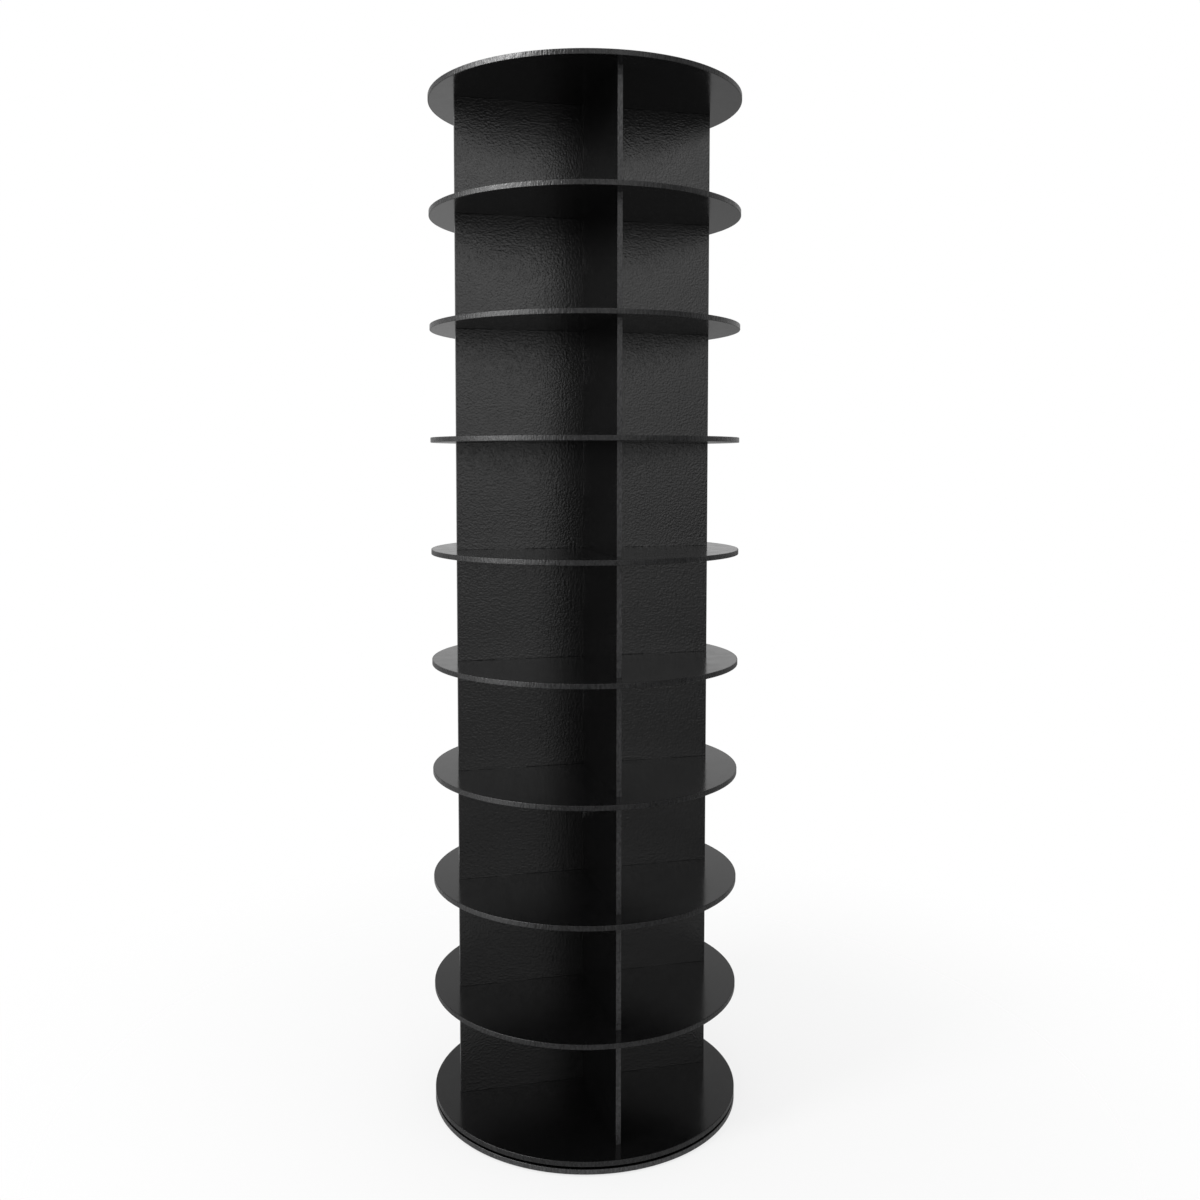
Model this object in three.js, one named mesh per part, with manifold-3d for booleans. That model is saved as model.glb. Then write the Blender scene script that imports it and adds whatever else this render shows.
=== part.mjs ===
// A rotating shoe tower: nine tiers of round shelves, each tier split into four open compartments
// by two boards that cross on the centre line. The shelves and boards turn together on a thin ball
// bearing, let into the underside of the lowest shelf and the top of a fixed base disc on rubber pads.
//
// Frame: millimetres, +Z up, origin on the floor under the centre of the tower. The crossed boards
// lie along X and Y.
import * as THREE from "three";
import { mergeVertices } from "three/addons/utils/BufferGeometryUtils.js";
import Module from "manifold-3d";

const wasm = await Module();
wasm.setup();

// Driving sizes of the tower
const TIERS = 9;
const ARMS = 4;
const DISC_DIAMETER = 600;
const BOARD_THICKNESS = 9.5;
const TIER_PITCH = 215;
const DIVIDER_LENGTH = 506;
const EDGE_EASE = 0.8;
const JOINT_CLEARANCE = 0.3;

// Tabs on the dividers' long edges, which plug into slots in the discs
const TAB_LENGTH = 60;
const TAB_CENTRE_RADIUS = 150;
const TAB_END_GAP = 0.5;

// The fixed base and its rubber pads
const BASE_THICKNESS = 9.5;
const BASE_GAP = 4.5;
const PAD_COUNT = 6;
const PAD_DIAMETER = 32;
const PAD_HEIGHT = 3;
const PAD_RIM_INSET = 45;
const PAD_EASE = 0.8;

// The ball bearing: two flat aluminium rings, one inside the other, with balls between them
const BEARING_RECESS = 2;
const BALL_CIRCLE_RADIUS = 125;
const RING_WIDTH = 24;
const RING_RUNNING_GAP = 0.5;
const RACE_WALL_GAP = 1.4;
const RING_EASE = 0.5;
const BALL_COUNT = 16;
const BALL_DIAMETER = 2.5;
const CAGE_HEIGHT = 2;

// The bearing's countersunk screws
const SCREW_DIAMETER = 3.5;
const SCREW_HEAD_DIAMETER = 7;
const SCREW_HEAD_HEIGHT = 2.2;
const SCREW_HEAD_RIM = 0.4;
const SCREW_TIP = 2;
const SCREW_CROSS_LENGTH = 3.8;
const SCREW_CROSS_WIDTH = 0.9;
const SCREW_CROSS_DEPTH = 1.3;
const SCREW_TIP_COVER = 2;
const ACCESS_HOLE_DIAMETER = 14;

// Facets, and how far a cutting tool runs past the face that it cuts
const DISC_FACETS = 96;
const RING_FACETS = 48;
const ROUND_FACETS = 12;
const BALL_FACETS = 6;
const GROOVE_STEPS = 4;
const CUT_OVERRUN = 1;

const HALF_TURN = Math.PI;
const QUARTER_TURN = Math.PI / 2;
const FULL_TURN = Math.PI * 2;

// Levels, from the floor up
const discRadius = DISC_DIAMETER / 2;
const baseRadius = discRadius;
const baseBottom = PAD_HEIGHT;
const baseTop = baseBottom + BASE_THICKNESS;
const towerBottom = baseTop + BASE_GAP;
const dividerHeight = TIER_PITCH - BOARD_THICKNESS;

const laminate = new THREE.MeshStandardMaterial({ color: 0x1b1b1c, roughness: 0.42, metalness: 0 });
const aluminium = new THREE.MeshStandardMaterial({ color: 0xb9bcc0, roughness: 0.35, metalness: 1 });
const steel = new THREE.MeshStandardMaterial({ color: 0x9a9da1, roughness: 0.3, metalness: 1 });
const nylon = new THREE.MeshStandardMaterial({ color: 0xe6e3da, roughness: 0.5, metalness: 0 });
const rubber = new THREE.MeshStandardMaterial({ color: 0x161616, roughness: 0.85, metalness: 0 });

// Turns a closed geometry into a solid that can be cut and joined.
function solidOf(geometry) {
  const bare = geometry.clone();
  bare.deleteAttribute("normal");
  bare.deleteAttribute("uv");
  const merged = mergeVertices(bare);
  return new wasm.Manifold(
    new wasm.Mesh({
      numProp: 3,
      vertProperties: merged.attributes.position.array,
      triVerts: new Uint32Array(merged.index.array),
    }),
  );
}

function geometryOf(solid) {
  const mesh = solid.getMesh();
  const geometry = new THREE.BufferGeometry();
  geometry.setAttribute("position", new THREE.BufferAttribute(mesh.vertProperties, 3));
  geometry.setIndex(new THREE.BufferAttribute(mesh.triVerts, 1));
  geometry.computeVertexNormals();
  return geometry;
}

// A solid of revolution about Z from [radius, height] points.
function revolve(points, facets) {
  const profile = points.map(([radius, height]) => new THREE.Vector2(radius, height));
  return new THREE.LatheGeometry(profile, facets).rotateX(QUARTER_TURN);
}

function named(name, geometry, material) {
  const mesh = new THREE.Mesh(geometry, material);
  mesh.name = name;
  return mesh;
}

// The place of one of `count` copies spread evenly on a circle.
function onCircle(radius, index, count, startAngle) {
  const angle = startAngle + (index * FULL_TURN) / count;
  return new THREE.Vector2(radius * Math.cos(angle), radius * Math.sin(angle));
}

// A flat round board with eased edges, its underside at height zero.
function discBoard(radius, thickness) {
  return revolve(
    [
      [0, 0],
      [radius - EDGE_EASE, 0],
      [radius, EDGE_EASE],
      [radius, thickness - EDGE_EASE],
      [radius - EDGE_EASE, thickness],
      [0, thickness],
    ],
    DISC_FACETS,
  );
}

function cylinderBetween(radius, bottom, top, facets) {
  return revolve([[0, bottom], [radius, bottom], [radius, top], [0, top]], facets);
}

// Each tab fills half of a shelf's thickness, less half of the gap between the tabs of two tiers.
const tabHeight = (BOARD_THICKNESS - TAB_END_GAP) / 2;

// The four slots of a disc, from one height to another, one under each arm of the crossed boards.
function tabSlots(bottom, top) {
  const slotLength = TAB_LENGTH + 2 * JOINT_CLEARANCE;
  const slotWidth = BOARD_THICKNESS + 2 * JOINT_CLEARANCE;
  return Array.from({ length: ARMS }, (_, arm) => {
    const slot = new THREE.BoxGeometry(slotLength, slotWidth, top - bottom);
    slot.translate(TAB_CENTRE_RADIUS, 0, (top + bottom) / 2);
    return solidOf(slot.rotateZ(arm * QUARTER_TURN));
  });
}

function cutAll(solid, cutters) {
  return cutters.reduce((left, cutter) => left.subtract(cutter), solid);
}

function shelfDisc() {
  const slots = tabSlots(-CUT_OVERRUN, BOARD_THICKNESS + CUT_OVERRUN);
  return geometryOf(cutAll(solidOf(discBoard(discRadius, BOARD_THICKNESS)), slots));
}

// The top disc has blind slots from below, so that its upper face is unbroken.
function topDisc() {
  const slots = tabSlots(-CUT_OVERRUN, tabHeight + JOINT_CLEARANCE);
  return geometryOf(cutAll(solidOf(discBoard(discRadius, BOARD_THICKNESS)), slots));
}

// The bearing's plan and heights, measured from the base disc's top face
const ballRadius = BALL_DIAMETER / 2;
const grooveRadius = ballRadius + JOINT_CLEARANCE;
const innerRaceRadius = BALL_CIRCLE_RADIUS - RACE_WALL_GAP / 2;
const outerRaceRadius = BALL_CIRCLE_RADIUS + RACE_WALL_GAP / 2;
const innerRingBore = innerRaceRadius - RING_WIDTH;
const outerRingRadius = outerRaceRadius + RING_WIDTH;
const innerScrewRadius = innerRaceRadius - RING_WIDTH / 2;
const outerScrewRadius = outerRaceRadius + RING_WIDTH / 2;
const ringHeight = BASE_GAP + BEARING_RECESS - RING_RUNNING_GAP;
const outerRingBottom = -BEARING_RECESS;
const innerRingBottom = RING_RUNNING_GAP;
const ballHeight = BASE_GAP / 2;

// A screw reaches through its ring and stops short of its board's far face.
const baseScrewLength = ringHeight + BASE_THICKNESS - BEARING_RECESS - SCREW_TIP_COVER;
const discScrewLength = ringHeight + BOARD_THICKNESS - BEARING_RECESS - SCREW_TIP_COVER;

// A countersunk screw with its head's face at height zero and its tip below, grown all over by `grow`.
function screwShape(length, grow) {
  const shank = SCREW_DIAMETER / 2 + grow;
  const head = SCREW_HEAD_DIAMETER / 2 + grow;
  return revolve(
    [
      [0, -length - grow],
      [shank, -length + SCREW_TIP],
      [shank, -SCREW_HEAD_HEIGHT - grow],
      [head, -SCREW_HEAD_RIM],
      [head, grow],
      [0, grow],
    ],
    ROUND_FACETS,
  );
}

// A screw with a cross recess in its head, pointing down.
function crossHeadScrew(length) {
  const bars = [0, QUARTER_TURN].map((turn) => {
    const bar = new THREE.BoxGeometry(SCREW_CROSS_LENGTH, SCREW_CROSS_WIDTH, 2 * SCREW_CROSS_DEPTH);
    return solidOf(bar.rotateZ(turn));
  });
  return geometryOf(cutAll(solidOf(screwShape(length, 0)), bars));
}

// Screw-shaped cutters, pointing down from `height`, or up from it where `upward` is set.
function screwCutters(length, circleRadius, height, upward) {
  return Array.from({ length: ARMS }, (_, index) => {
    const cutter = screwShape(length, JOINT_CLEARANCE);
    if (upward) cutter.rotateX(HALF_TURN);
    const place = onCircle(circleRadius, index, ARMS, HALF_TURN / ARMS);
    return solidOf(cutter.translate(place.x, place.y, height));
  });
}

const baseScrewHeight = outerRingBottom + ringHeight;
const discScrewHeight = innerRingBottom;

// The lowest disc of the turning tower: blind slots above, and a round recess below for the inner ring.
function bottomDisc() {
  const recess = cylinderBetween(
    innerRaceRadius + JOINT_CLEARANCE,
    -CUT_OVERRUN,
    BEARING_RECESS,
    RING_FACETS,
  );
  const slots = tabSlots(BOARD_THICKNESS - tabHeight - JOINT_CLEARANCE, BOARD_THICKNESS + CUT_OVERRUN);
  const pilots = screwCutters(discScrewLength, innerScrewRadius, discScrewHeight - BASE_GAP, true);
  const board = solidOf(discBoard(discRadius, BOARD_THICKNESS));
  return geometryOf(cutAll(board, [solidOf(recess), ...slots, ...pilots]));
}

// The fixed disc: a recess for the outer ring, pilot holes, and the hole through which the inner
// ring's screws are driven, one after another, as the tower is turned.
function baseDisc() {
  const recess = cylinderBetween(
    outerRingRadius + JOINT_CLEARANCE,
    BASE_THICKNESS - BEARING_RECESS,
    BASE_THICKNESS + CUT_OVERRUN,
    RING_FACETS,
  );
  const access = cylinderBetween(
    ACCESS_HOLE_DIAMETER / 2,
    -CUT_OVERRUN,
    BASE_THICKNESS + CUT_OVERRUN,
    ROUND_FACETS,
  );
  const place = onCircle(innerScrewRadius, 0, ARMS, HALF_TURN / ARMS);
  access.translate(place.x, place.y, 0);
  const pilots = screwCutters(baseScrewLength, outerScrewRadius, BASE_THICKNESS + baseScrewHeight, false);
  const board = solidOf(discBoard(baseRadius, BASE_THICKNESS));
  return geometryOf(cutAll(board, [solidOf(recess), solidOf(access), ...pilots]));
}

// The arc of a race groove's wall, from below the ball to above it, on the side that `side` points to.
function grooveArc(side) {
  const halfAngle = Math.acos(RACE_WALL_GAP / 2 / grooveRadius);
  return Array.from({ length: GROOVE_STEPS + 1 }, (_, step) => {
    const angle = -halfAngle + (2 * halfAngle * step) / GROOVE_STEPS;
    return [
      BALL_CIRCLE_RADIUS + side * grooveRadius * Math.cos(angle),
      ballHeight + grooveRadius * Math.sin(angle),
    ];
  });
}

function bearingOuterRing() {
  const top = outerRingBottom + ringHeight;
  const profile = [
    [outerRaceRadius, outerRingBottom],
    [outerRingRadius - RING_EASE, outerRingBottom],
    [outerRingRadius, outerRingBottom + RING_EASE],
    [outerRingRadius, top - RING_EASE],
    [outerRingRadius - RING_EASE, top],
    [outerRaceRadius, top],
    ...grooveArc(1).reverse(),
    [outerRaceRadius, outerRingBottom],
  ];
  const holes = screwCutters(baseScrewLength, outerScrewRadius, baseScrewHeight, false);
  return geometryOf(cutAll(solidOf(revolve(profile, RING_FACETS)), holes));
}

function bearingInnerRing() {
  const top = innerRingBottom + ringHeight;
  const profile = [
    [innerRaceRadius, top],
    [innerRingBore + RING_EASE, top],
    [innerRingBore, top - RING_EASE],
    [innerRingBore, innerRingBottom + RING_EASE],
    [innerRingBore + RING_EASE, innerRingBottom],
    [innerRaceRadius, innerRingBottom],
    ...grooveArc(-1),
    [innerRaceRadius, top],
  ];
  const holes = screwCutters(discScrewLength, innerScrewRadius, discScrewHeight, true);
  return geometryOf(cutAll(solidOf(revolve(profile, RING_FACETS)), holes));
}

// The balls sit in a thin ring that keeps them apart and goes round with them.
function bearingBallCage() {
  const halfWall = RACE_WALL_GAP / 2 - JOINT_CLEARANCE;
  const [inner, outer] = [BALL_CIRCLE_RADIUS - halfWall, BALL_CIRCLE_RADIUS + halfWall];
  const [bottom, top] = [ballHeight - CAGE_HEIGHT / 2, ballHeight + CAGE_HEIGHT / 2];
  const corners = [[inner, bottom], [outer, bottom], [outer, top], [inner, top], [inner, bottom]];
  const strip = revolve(corners, RING_FACETS);
  return geometryOf(
    Array.from({ length: BALL_COUNT }).reduce((cage, _, index) => {
      const ball = new THREE.SphereGeometry(ballRadius, BALL_FACETS, BALL_FACETS);
      const place = onCircle(BALL_CIRCLE_RADIUS, index, BALL_COUNT, 0);
      return cage.add(solidOf(ball.rotateX(QUARTER_TURN).translate(place.x, place.y, ballHeight)));
    }, solidOf(strip)),
  );
}

function rubberPad() {
  const radius = PAD_DIAMETER / 2;
  return revolve(
    [[0, 0], [radius - PAD_EASE, 0], [radius, PAD_EASE], [radius, PAD_HEIGHT], [0, PAD_HEIGHT]],
    ROUND_FACETS,
  );
}

// The outline of a divider board from one end to the other, with two tabs on each long edge and a
// halving slot that lets it cross its neighbour. `slotFromTop` says which edge the slot opens to.
function dividerOutline(slotFromTop) {
  const half = DIVIDER_LENGTH / 2;
  const halfSlot = BOARD_THICKNESS / 2 + JOINT_CLEARANCE;
  const slotFloor = (dividerHeight - JOINT_CLEARANCE) / 2;
  const tabStart = TAB_CENTRE_RADIUS - TAB_LENGTH / 2;
  const tabEnd = TAB_CENTRE_RADIUS + TAB_LENGTH / 2;
  // Half of the plain edge and half of the slotted edge, as distances out from the board's middle
  // and in from the edge.
  const tabCorners = [[tabStart, 0], [tabStart, -tabHeight], [tabEnd, -tabHeight], [tabEnd, 0]];
  const slotCorners = [[halfSlot, dividerHeight - slotFloor], [halfSlot, 0]];
  const bottomHalf = [...(slotFromTop ? [] : slotCorners), ...tabCorners, [half, 0]];
  const topHalf = [...(slotFromTop ? slotCorners : []), ...tabCorners, [half, 0]];
  const bottom = [
    ...bottomHalf.map(([out, inward]) => [-out, inward]).reverse(),
    ...bottomHalf,
  ];
  const top = [
    ...topHalf.map(([out, inward]) => [out, dividerHeight - inward]).reverse(),
    ...topHalf.map(([out, inward]) => [-out, dividerHeight - inward]),
  ];
  return new THREE.Shape([...bottom, ...top].map(([x, y]) => new THREE.Vector2(x, y)));
}

// A divider board standing on height zero along X, with its edges eased.
function dividerBoard(slotFromTop) {
  const board = new THREE.ExtrudeGeometry(dividerOutline(slotFromTop), {
    depth: BOARD_THICKNESS - 2 * EDGE_EASE,
    bevelThickness: EDGE_EASE,
    bevelSize: EDGE_EASE,
    bevelOffset: -EDGE_EASE,
    bevelSegments: 1,
  });
  return board.translate(0, 0, EDGE_EASE - BOARD_THICKNESS / 2).rotateX(QUARTER_TURN);
}

// Builds the parts that stay still on the floor.
function fixedBase() {
  const base = new THREE.Group();
  for (let pad = 0; pad < PAD_COUNT; pad += 1) {
    const mesh = named(`foot_pad_${pad + 1}`, rubberPad(), rubber);
    const place = onCircle(baseRadius - PAD_RIM_INSET, pad, PAD_COUNT, 0);
    mesh.position.set(place.x, place.y, 0);
    base.add(mesh);
  }
  const disc = named("base_disc", baseDisc(), laminate);
  disc.position.z = baseBottom;
  base.add(disc);
  const ring = named("bearing_outer_ring", bearingOuterRing(), aluminium);
  ring.position.z = baseTop;
  base.add(ring);
  for (let index = 0; index < ARMS; index += 1) {
    const screw = named(`base_ring_screw_${index + 1}`, crossHeadScrew(baseScrewLength), steel);
    const place = onCircle(outerScrewRadius, index, ARMS, HALF_TURN / ARMS);
    screw.position.set(place.x, place.y, baseTop + baseScrewHeight);
    base.add(screw);
  }
  return base;
}

// Builds the part of the bearing that turns with the tower, and the balls between.
function turningBearing() {
  const bearing = new THREE.Group();
  bearing.position.z = baseTop;
  bearing.add(named("bearing_inner_ring", bearingInnerRing(), aluminium));
  bearing.add(named("bearing_ball_cage", bearingBallCage(), nylon));
  for (let index = 0; index < ARMS; index += 1) {
    const shape = crossHeadScrew(discScrewLength).rotateX(HALF_TURN);
    const screw = named(`disc_ring_screw_${index + 1}`, shape, steel);
    const place = onCircle(innerScrewRadius, index, ARMS, HALF_TURN / ARMS);
    screw.position.set(place.x, place.y, discScrewHeight);
    bearing.add(screw);
  }
  return bearing;
}

// Builds the turning tower: a disc, then for each tier two crossed boards and the disc above them.
function turningTower() {
  const tower = new THREE.Group();
  tower.position.z = towerBottom;
  tower.add(named("bottom_disc", bottomDisc(), laminate));
  for (let tier = 1; tier <= TIERS; tier += 1) {
    const boardsAcross = named(`tier_${tier}_divider_a`, dividerBoard(true), laminate);
    const boardsAlong = named(`tier_${tier}_divider_b`, dividerBoard(false), laminate);
    boardsAlong.rotation.z = QUARTER_TURN;
    for (const board of [boardsAcross, boardsAlong]) {
      board.position.z = (tier - 1) * TIER_PITCH + BOARD_THICKNESS;
      tower.add(board);
    }
    const disc =
      tier < TIERS
        ? named(`shelf_disc_${tier}`, shelfDisc(), laminate)
        : named("top_disc", topDisc(), laminate);
    disc.position.z = tier * TIER_PITCH;
    tower.add(disc);
  }
  return tower;
}

const shoeTower = new THREE.Group();
shoeTower.add(fixedBase(), turningBearing(), turningTower());

export default shoeTower;
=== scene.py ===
"""Looks of a rotating shoe tower: black boards, their edge bands and the bearing under them.

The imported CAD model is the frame. Every piece is modelled anew, at the place and size of the CAD node
that it stands for: the boards with round outlines, eased arrises and an edge band, and the small parts
of the bearing and the feet in the same way.
"""

import logging  # noqa: E402
import math  # noqa: E402
from dataclasses import dataclass, field, replace  # noqa: E402
from enum import Enum  # noqa: E402
from typing import Callable, Iterable, Sequence  # noqa: E402

import bpy  # noqa: E402
from mathutils import Matrix, Vector  # noqa: E402

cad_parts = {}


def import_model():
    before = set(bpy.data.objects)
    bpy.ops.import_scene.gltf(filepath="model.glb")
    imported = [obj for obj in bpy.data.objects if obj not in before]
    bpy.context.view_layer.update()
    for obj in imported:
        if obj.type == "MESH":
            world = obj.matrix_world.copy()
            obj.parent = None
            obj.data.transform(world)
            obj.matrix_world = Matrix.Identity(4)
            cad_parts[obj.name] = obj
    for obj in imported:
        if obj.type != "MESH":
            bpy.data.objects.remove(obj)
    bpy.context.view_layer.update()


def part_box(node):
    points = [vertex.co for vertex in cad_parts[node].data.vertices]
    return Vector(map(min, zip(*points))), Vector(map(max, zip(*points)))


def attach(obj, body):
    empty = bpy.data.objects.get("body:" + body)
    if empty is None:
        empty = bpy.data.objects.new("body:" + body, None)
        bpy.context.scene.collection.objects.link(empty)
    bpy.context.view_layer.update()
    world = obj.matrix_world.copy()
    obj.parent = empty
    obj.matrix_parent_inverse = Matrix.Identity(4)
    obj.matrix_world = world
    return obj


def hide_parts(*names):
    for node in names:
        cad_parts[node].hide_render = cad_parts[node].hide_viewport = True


LOG = logging.getLogger("shoe_tower")

Piece = bpy.types.Object
Face = bpy.types.MeshPolygon
Material = bpy.types.Material
Socket = bpy.types.NodeSocket
Pair = tuple[float, float]
Colour = tuple[float, float, float]
Place = tuple[float, float, float]
Stops = tuple[Pair, ...]

TIERS = 9
ARMS = 4
MM = 0.001

# How far a cutter runs past the face that it cuts, in metres
OVERRUN = 1 * MM
# Two points closer in height than this are level, in metres
LEVEL = 1e-6
# A face looks along an axis where more than the first share of its normal lies along it, and across
# the axis where less than the second does
SQUARE_ON = 0.9
EDGE_ON = 0.5
# How strongly wide faces pull on the shading normals at their edges
WIDE_FACE_WEIGHT = 100
# The usual range of a noise texture
NOISE_RANGE = (0.3, 0.7)
# The mix node's sockets for two colours and for their mixture
MIX_COLOURS = (6, 7)
MIXED_COLOUR = 2
WHITE = (1.0, 1.0, 1.0, 1.0)


class Body(Enum):
    """The bodies that pieces ride on."""

    BASE = "base"
    CAGE = "ball_cage"
    TOWER = "tower"


class Slot(Enum):
    """The material slots that a role names."""

    BOARD = "board_black"
    ALUMINIUM = "bearing_aluminium"
    STEEL = "screw_steel"
    CAGE = "cage_nylon"
    RUBBER = "pad_rubber"


class Making(Enum):
    """How a piece is made, which ends its name."""

    BOARD = "board"
    TURNED = "turned"
    MOULDED = "moulded"


# Node materials


class NodeTree:
    """A small helper that adds and joins the nodes of one material or of the world."""

    def __init__(self, owner: Material | bpy.types.World, coordinates: str = "Object") -> None:
        """Empties the owner's node tree and gives it an output.

        Args:
            owner: The material or the world.
            coordinates: The texture coordinate that its patterns read.
        """
        owner.use_nodes = True
        self.tree = owner.node_tree
        self.tree.nodes.clear()
        output = self.add("OutputWorld" if isinstance(owner, bpy.types.World) else "OutputMaterial")
        self.output = output.inputs[0]
        self.coordinates = self.add("TexCoord").outputs[coordinates]

    def add(self, kind: str, **settings: object) -> bpy.types.Node:
        """Adds a node, sets its properties and feeds its inputs.

        Args:
            kind: The node's type name after "ShaderNode".
            **settings: Properties by their own names. Constants or sockets for inputs, by the inputs'
                names with underscores for spaces.

        Returns:
            The new node.
        """
        node = self.tree.nodes.new(f"ShaderNode{kind}")
        for key, value in settings.items():
            if hasattr(node, key):
                setattr(node, key, value)
            else:
                self.feed(node.inputs[key.replace("_", " ")], value)
        return node

    def add_in_order(self, kind: str, values: Iterable[object], **settings: object) -> bpy.types.Node:
        """Adds a node and feeds its first inputs in order.

        Args:
            kind: The node's type name after "ShaderNode".
            values: Constants or sockets for the inputs.
            **settings: Its properties.

        Returns:
            The new node.
        """
        node = self.add(kind, **settings)
        for target, value in zip(node.inputs, values):
            self.feed(target, value)
        return node

    def feed(self, target: Socket, value: object) -> None:
        """Joins a socket to an input, or sets the input's own value.

        Args:
            target: The input.
            value: A socket or a constant.
        """
        if isinstance(value, Socket):
            self.tree.links.new(value, target)
        else:
            target.default_value = value

    def noise(self, scale: float, detail: float = 2.0, stretch: Place = (1.0, 1.0, 1.0)) -> Socket:
        """Returns the factor of a noise texture.

        Args:
            scale: Features per metre.
            detail: How many octaves it has.
            stretch: Factors on the three coordinates, below one where features are long.

        Returns:
            The noise's factor socket.
        """
        mapping = self.add("Mapping", Vector=self.coordinates, Scale=stretch)
        place = mapping.outputs["Vector"]
        return self.add("TexNoise", Vector=place, Scale=scale, Detail=detail).outputs[0]

    def cells(self, scale: float, smoothness: float = 0.6) -> Socket:
        """Returns the distance output of a smooth cell texture.

        Args:
            scale: Cells per metre.
            smoothness: How far the cells run into each other.

        Returns:
            The distance socket.
        """
        node = self.add("TexVoronoi", feature="SMOOTH_F1", Scale=scale, Smoothness=smoothness)
        self.feed(node.inputs["Vector"], self.coordinates)
        return node.outputs["Distance"]

    def remap(self, source: Socket, low: float, high: float) -> Socket:
        """Spreads a noise's usual range over low to high.

        Args:
            source: The noise's factor.
            low: The value at the range's low end.
            high: The value at its high end.

        Returns:
            The remapped value's socket.
        """
        return self.add_in_order("MapRange", (source, *NOISE_RANGE, low, high)).outputs[0]

    def share(self, source: Socket, low: float, high: float) -> Socket:
        """Returns a smooth share that is none up to low and all from high on.

        Args:
            source: The value that it follows.
            low: The value where it starts.
            high: The value where it is all.

        Returns:
            The share's socket.
        """
        values = (source, low, high, 0.0, 1.0)
        return self.add_in_order("MapRange", values, interpolation_type="SMOOTHSTEP").outputs[0]

    def blend(self, factor: Socket, first: Colour, second: Colour) -> Socket:
        """Mixes two colours by a factor.

        Args:
            factor: The socket that chooses between them.
            first: The colour at factor zero.
            second: The colour at factor one.

        Returns:
            The mixed colour's socket.
        """
        node = self.add("Mix", data_type="RGBA", Factor=factor)
        for index, colour in zip(MIX_COLOURS, (first, second)):
            node.inputs[index].default_value = (*colour, 1.0)
        return node.outputs[MIXED_COLOUR]

    def mix(self, factor: Socket, first: Socket, second: Socket) -> Socket:
        """Returns a mixture of two shaders, the first at factor zero and the second at one."""
        return self.add_in_order("MixShader", (factor, first, second)).outputs[0]

    def bump(
        self, height: Socket, depth: float, strength: float = 1.0, under: Socket | None = None
    ) -> Socket:
        """Returns a normal bumped by a height.

        Args:
            height: The height's socket.
            depth: Metres of relief for a height of one.
            strength: How much of it shows.
            under: A normal that this bump is laid over.

        Returns:
            The bumped normal's socket.
        """
        node = self.add("Bump", Height=height, Distance=depth, Strength=strength)
        if under is not None:
            self.feed(node.inputs["Normal"], under)
        return node.outputs["Normal"]

    def compute(self, operation: str, *values: Socket | float) -> Socket:
        """Returns the result of a math node on constants and sockets."""
        return self.add_in_order("Math", values, operation=operation).outputs[0]

    def reach(self, axis: Vector) -> Socket:
        """Returns how far the coordinates reach along an axis."""
        node = self.add_in_order("VectorMath", (self.coordinates, axis), operation="DOT_PRODUCT")
        return node.outputs["Value"]

    def profile(self, source: Socket, stops: Stops) -> Socket:
        """Returns a level that follows stops.

        Args:
            source: A value from -1 to 1.
            stops: Places from -1 to 1 in rising order, the first and last at the ends, and levels.

        Returns:
            The level's socket.
        """
        node = self.add_in_order("ValToRGB", [self.compute("MULTIPLY_ADD", source, 0.5, 0.5)])
        elements = node.color_ramp.elements
        for place, _ in stops[1:-1]:
            elements.new((place + 1) / 2)
        for element, (_, level) in zip(elements, stops, strict=True):
            element.color = (level, level, level, 1.0)
        return node.outputs[0]

    def surface(self, **values: object) -> None:
        """Adds the principled shader, fed by its inputs' names, and joins it to the output."""
        self.feed(self.output, self.add("BsdfPrincipled", **values).outputs[0])


@dataclass(frozen=True)
class BoardFace:
    """Black melamine with a fine pebbled face."""

    name: str
    relief: float
    dark: Colour = (0.0004, 0.0004, 0.0004)
    light: Colour = (0.0072, 0.0072, 0.0075)
    specks_per_metre: float = 450.0
    grains_per_metre: float = 240.0
    pebbles_per_metre: float = 420.0
    pebble_fineness: float = 3.0
    waves_per_metre: float = 9.0
    wave_relief: float = 0.0003
    wave_strength: float = 0.3
    patches_per_metre: float = 38.0
    roughness: Pair = (0.12, 0.2)
    resin_index: float = 1.68

    def build(self) -> Material:
        """Builds the finish.

        Returns:
            Its material.
        """
        material = bpy.data.materials.new(self.name)
        nodes = NodeTree(material)
        coarse = nodes.bump(nodes.noise(self.grains_per_metre, 3.0), self.relief)
        fine = self.relief / self.pebble_fineness
        pebbles = nodes.bump(nodes.cells(self.pebbles_per_metre), fine, under=coarse)
        waves = nodes.noise(self.waves_per_metre, 1.0)
        specks = nodes.remap(nodes.noise(self.specks_per_metre), 0.0, 1.0)
        nodes.surface(
            Base_Color=nodes.blend(specks, self.dark, self.light),
            Roughness=nodes.remap(nodes.noise(self.patches_per_metre, 4.0), *self.roughness),
            IOR=self.resin_index,
            Normal=nodes.bump(waves, self.wave_relief, self.wave_strength, pebbles),
        )
        return material


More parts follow.
